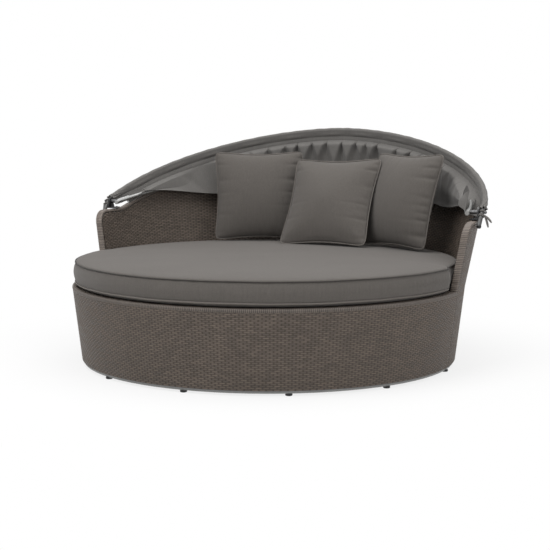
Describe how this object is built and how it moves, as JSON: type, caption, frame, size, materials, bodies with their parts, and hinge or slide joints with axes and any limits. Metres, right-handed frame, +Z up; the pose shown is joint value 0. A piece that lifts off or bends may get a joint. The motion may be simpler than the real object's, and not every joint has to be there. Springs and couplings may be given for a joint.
{
  "type": "outdoor daybed with folding canopy",
  "caption": "Round woven outdoor daybed: a thick round seat cushion, scatter cushions against a rising woven back, and a hooped canopy folded behind it.",
  "frame": {"origin": "on the floor, at the centre of the round base, under the centre leg's foot", "axes": "+X to the sitter's left, +Y to the back, +Z up"},
  "size_m": [1.9638, 1.9418, 1.0625],
  "materials": {
    "woven_resin": "flat brown-grey resin strands in a close weave",
    "wrapped_trim": "resin strands wrapped over the edges, a little lighter",
    "frame_grey": "grey powder coat",
    "hoop_metal": "satin",
    "black_metal": "satin black",
    "black_plastic": "moulded black",
    "zinc_steel": "zinc plated",
    "grey_fabric": "grey-taupe woven outdoor cloth"
  },
  "bodies": {
    "body": {"front_woven_skin": "woven_resin", "back_outer_skin": "woven_resin", "back_inner_skin": "woven_resin", "front_seat_deck": "woven_resin", "rear_seat_deck": "woven_resin", "front_rim_roll": "wrapped_trim", "back_wrapped_edge": "wrapped_trim", "front_bottom_rail": "frame_grey", "front_seat_rail": "frame_grey", "rear_bottom_rail": "frame_grey", "rear_seat_rail": "frame_grey", "front_joint_beam": "frame_grey", "rear_joint_beam": "frame_grey", "front_cross_bar": "frame_grey", "rear_cross_bar": "frame_grey", "back_frame_tube": "frame_grey", "centre_leg": "frame_grey", "rear_hoop": "frame_grey", "front_upright_1": "frame_grey", "front_upright_2": "frame_grey", "front_upright_3": "frame_grey", "front_upright_4": "frame_grey", "front_upright_5": "frame_grey", "rear_upright_1": "frame_grey", "rear_upright_2": "frame_grey", "rear_upright_3": "frame_grey", "front_glide_1": "black_plastic", "front_glide_2": "black_plastic", "front_glide_3": "black_plastic", "front_glide_4": "black_plastic", "front_glide_5": "black_plastic", "rear_glide_1": "black_plastic", "rear_glide_2": "black_plastic", "rear_glide_3": "black_plastic", "rear_glide_4": "black_plastic", "rear_glide_5": "black_plastic", "right_pivot_bracket": "black_metal", "left_pivot_bracket": "black_metal", "join_bolt_right": "zinc_steel", "join_bolt_left": "zinc_steel", "right_spacer": "zinc_steel", "left_spacer": "zinc_steel", "seat_cushion": "grey_fabric", "left_scatter_cushion": "grey_fabric", "middle_scatter_cushion": "grey_fabric", "right_scatter_cushion": "grey_fabric", "canopy_rear_panel": "grey_fabric"},
    "middle_hoop": {"middle_hoop": "hoop_metal", "canopy_middle_sleeve": "grey_fabric", "canopy_front_panel": "grey_fabric", "right_pivot_bolt": "zinc_steel", "left_pivot_bolt": "zinc_steel", "right_cap_nut": "zinc_steel", "left_cap_nut": "zinc_steel"},
    "front_hoop": {"front_hoop": "hoop_metal", "canopy_front_sleeve": "grey_fabric", "right_hoop_cap": "black_plastic", "left_hoop_cap": "black_plastic", "right_canopy_tie": "grey_fabric", "left_canopy_tie": "grey_fabric"}
  },
  "joints": [
    {"name": "middle_hoop_hinge", "type": "hinge", "parent": "body", "child": "middle_hoop", "pos_m": [0, 0.17, 0.7], "axis": [1, 0, 0], "range_deg": [0, 58], "deforming": ["canopy_front_panel", "canopy_rear_panel"]},
    {"name": "front_hoop_hinge", "type": "hinge", "parent": "middle_hoop", "child": "front_hoop", "pos_m": [0, 0.17, 0.7], "axis": [1, 0, 0], "range_deg": [0, 32], "deforming": ["canopy_front_panel"]}
  ],
  "couplings": [
    {"joint": "front_hoop_hinge", "follows": "middle_hoop_hinge", "ratio": 0.5517}
  ]
}
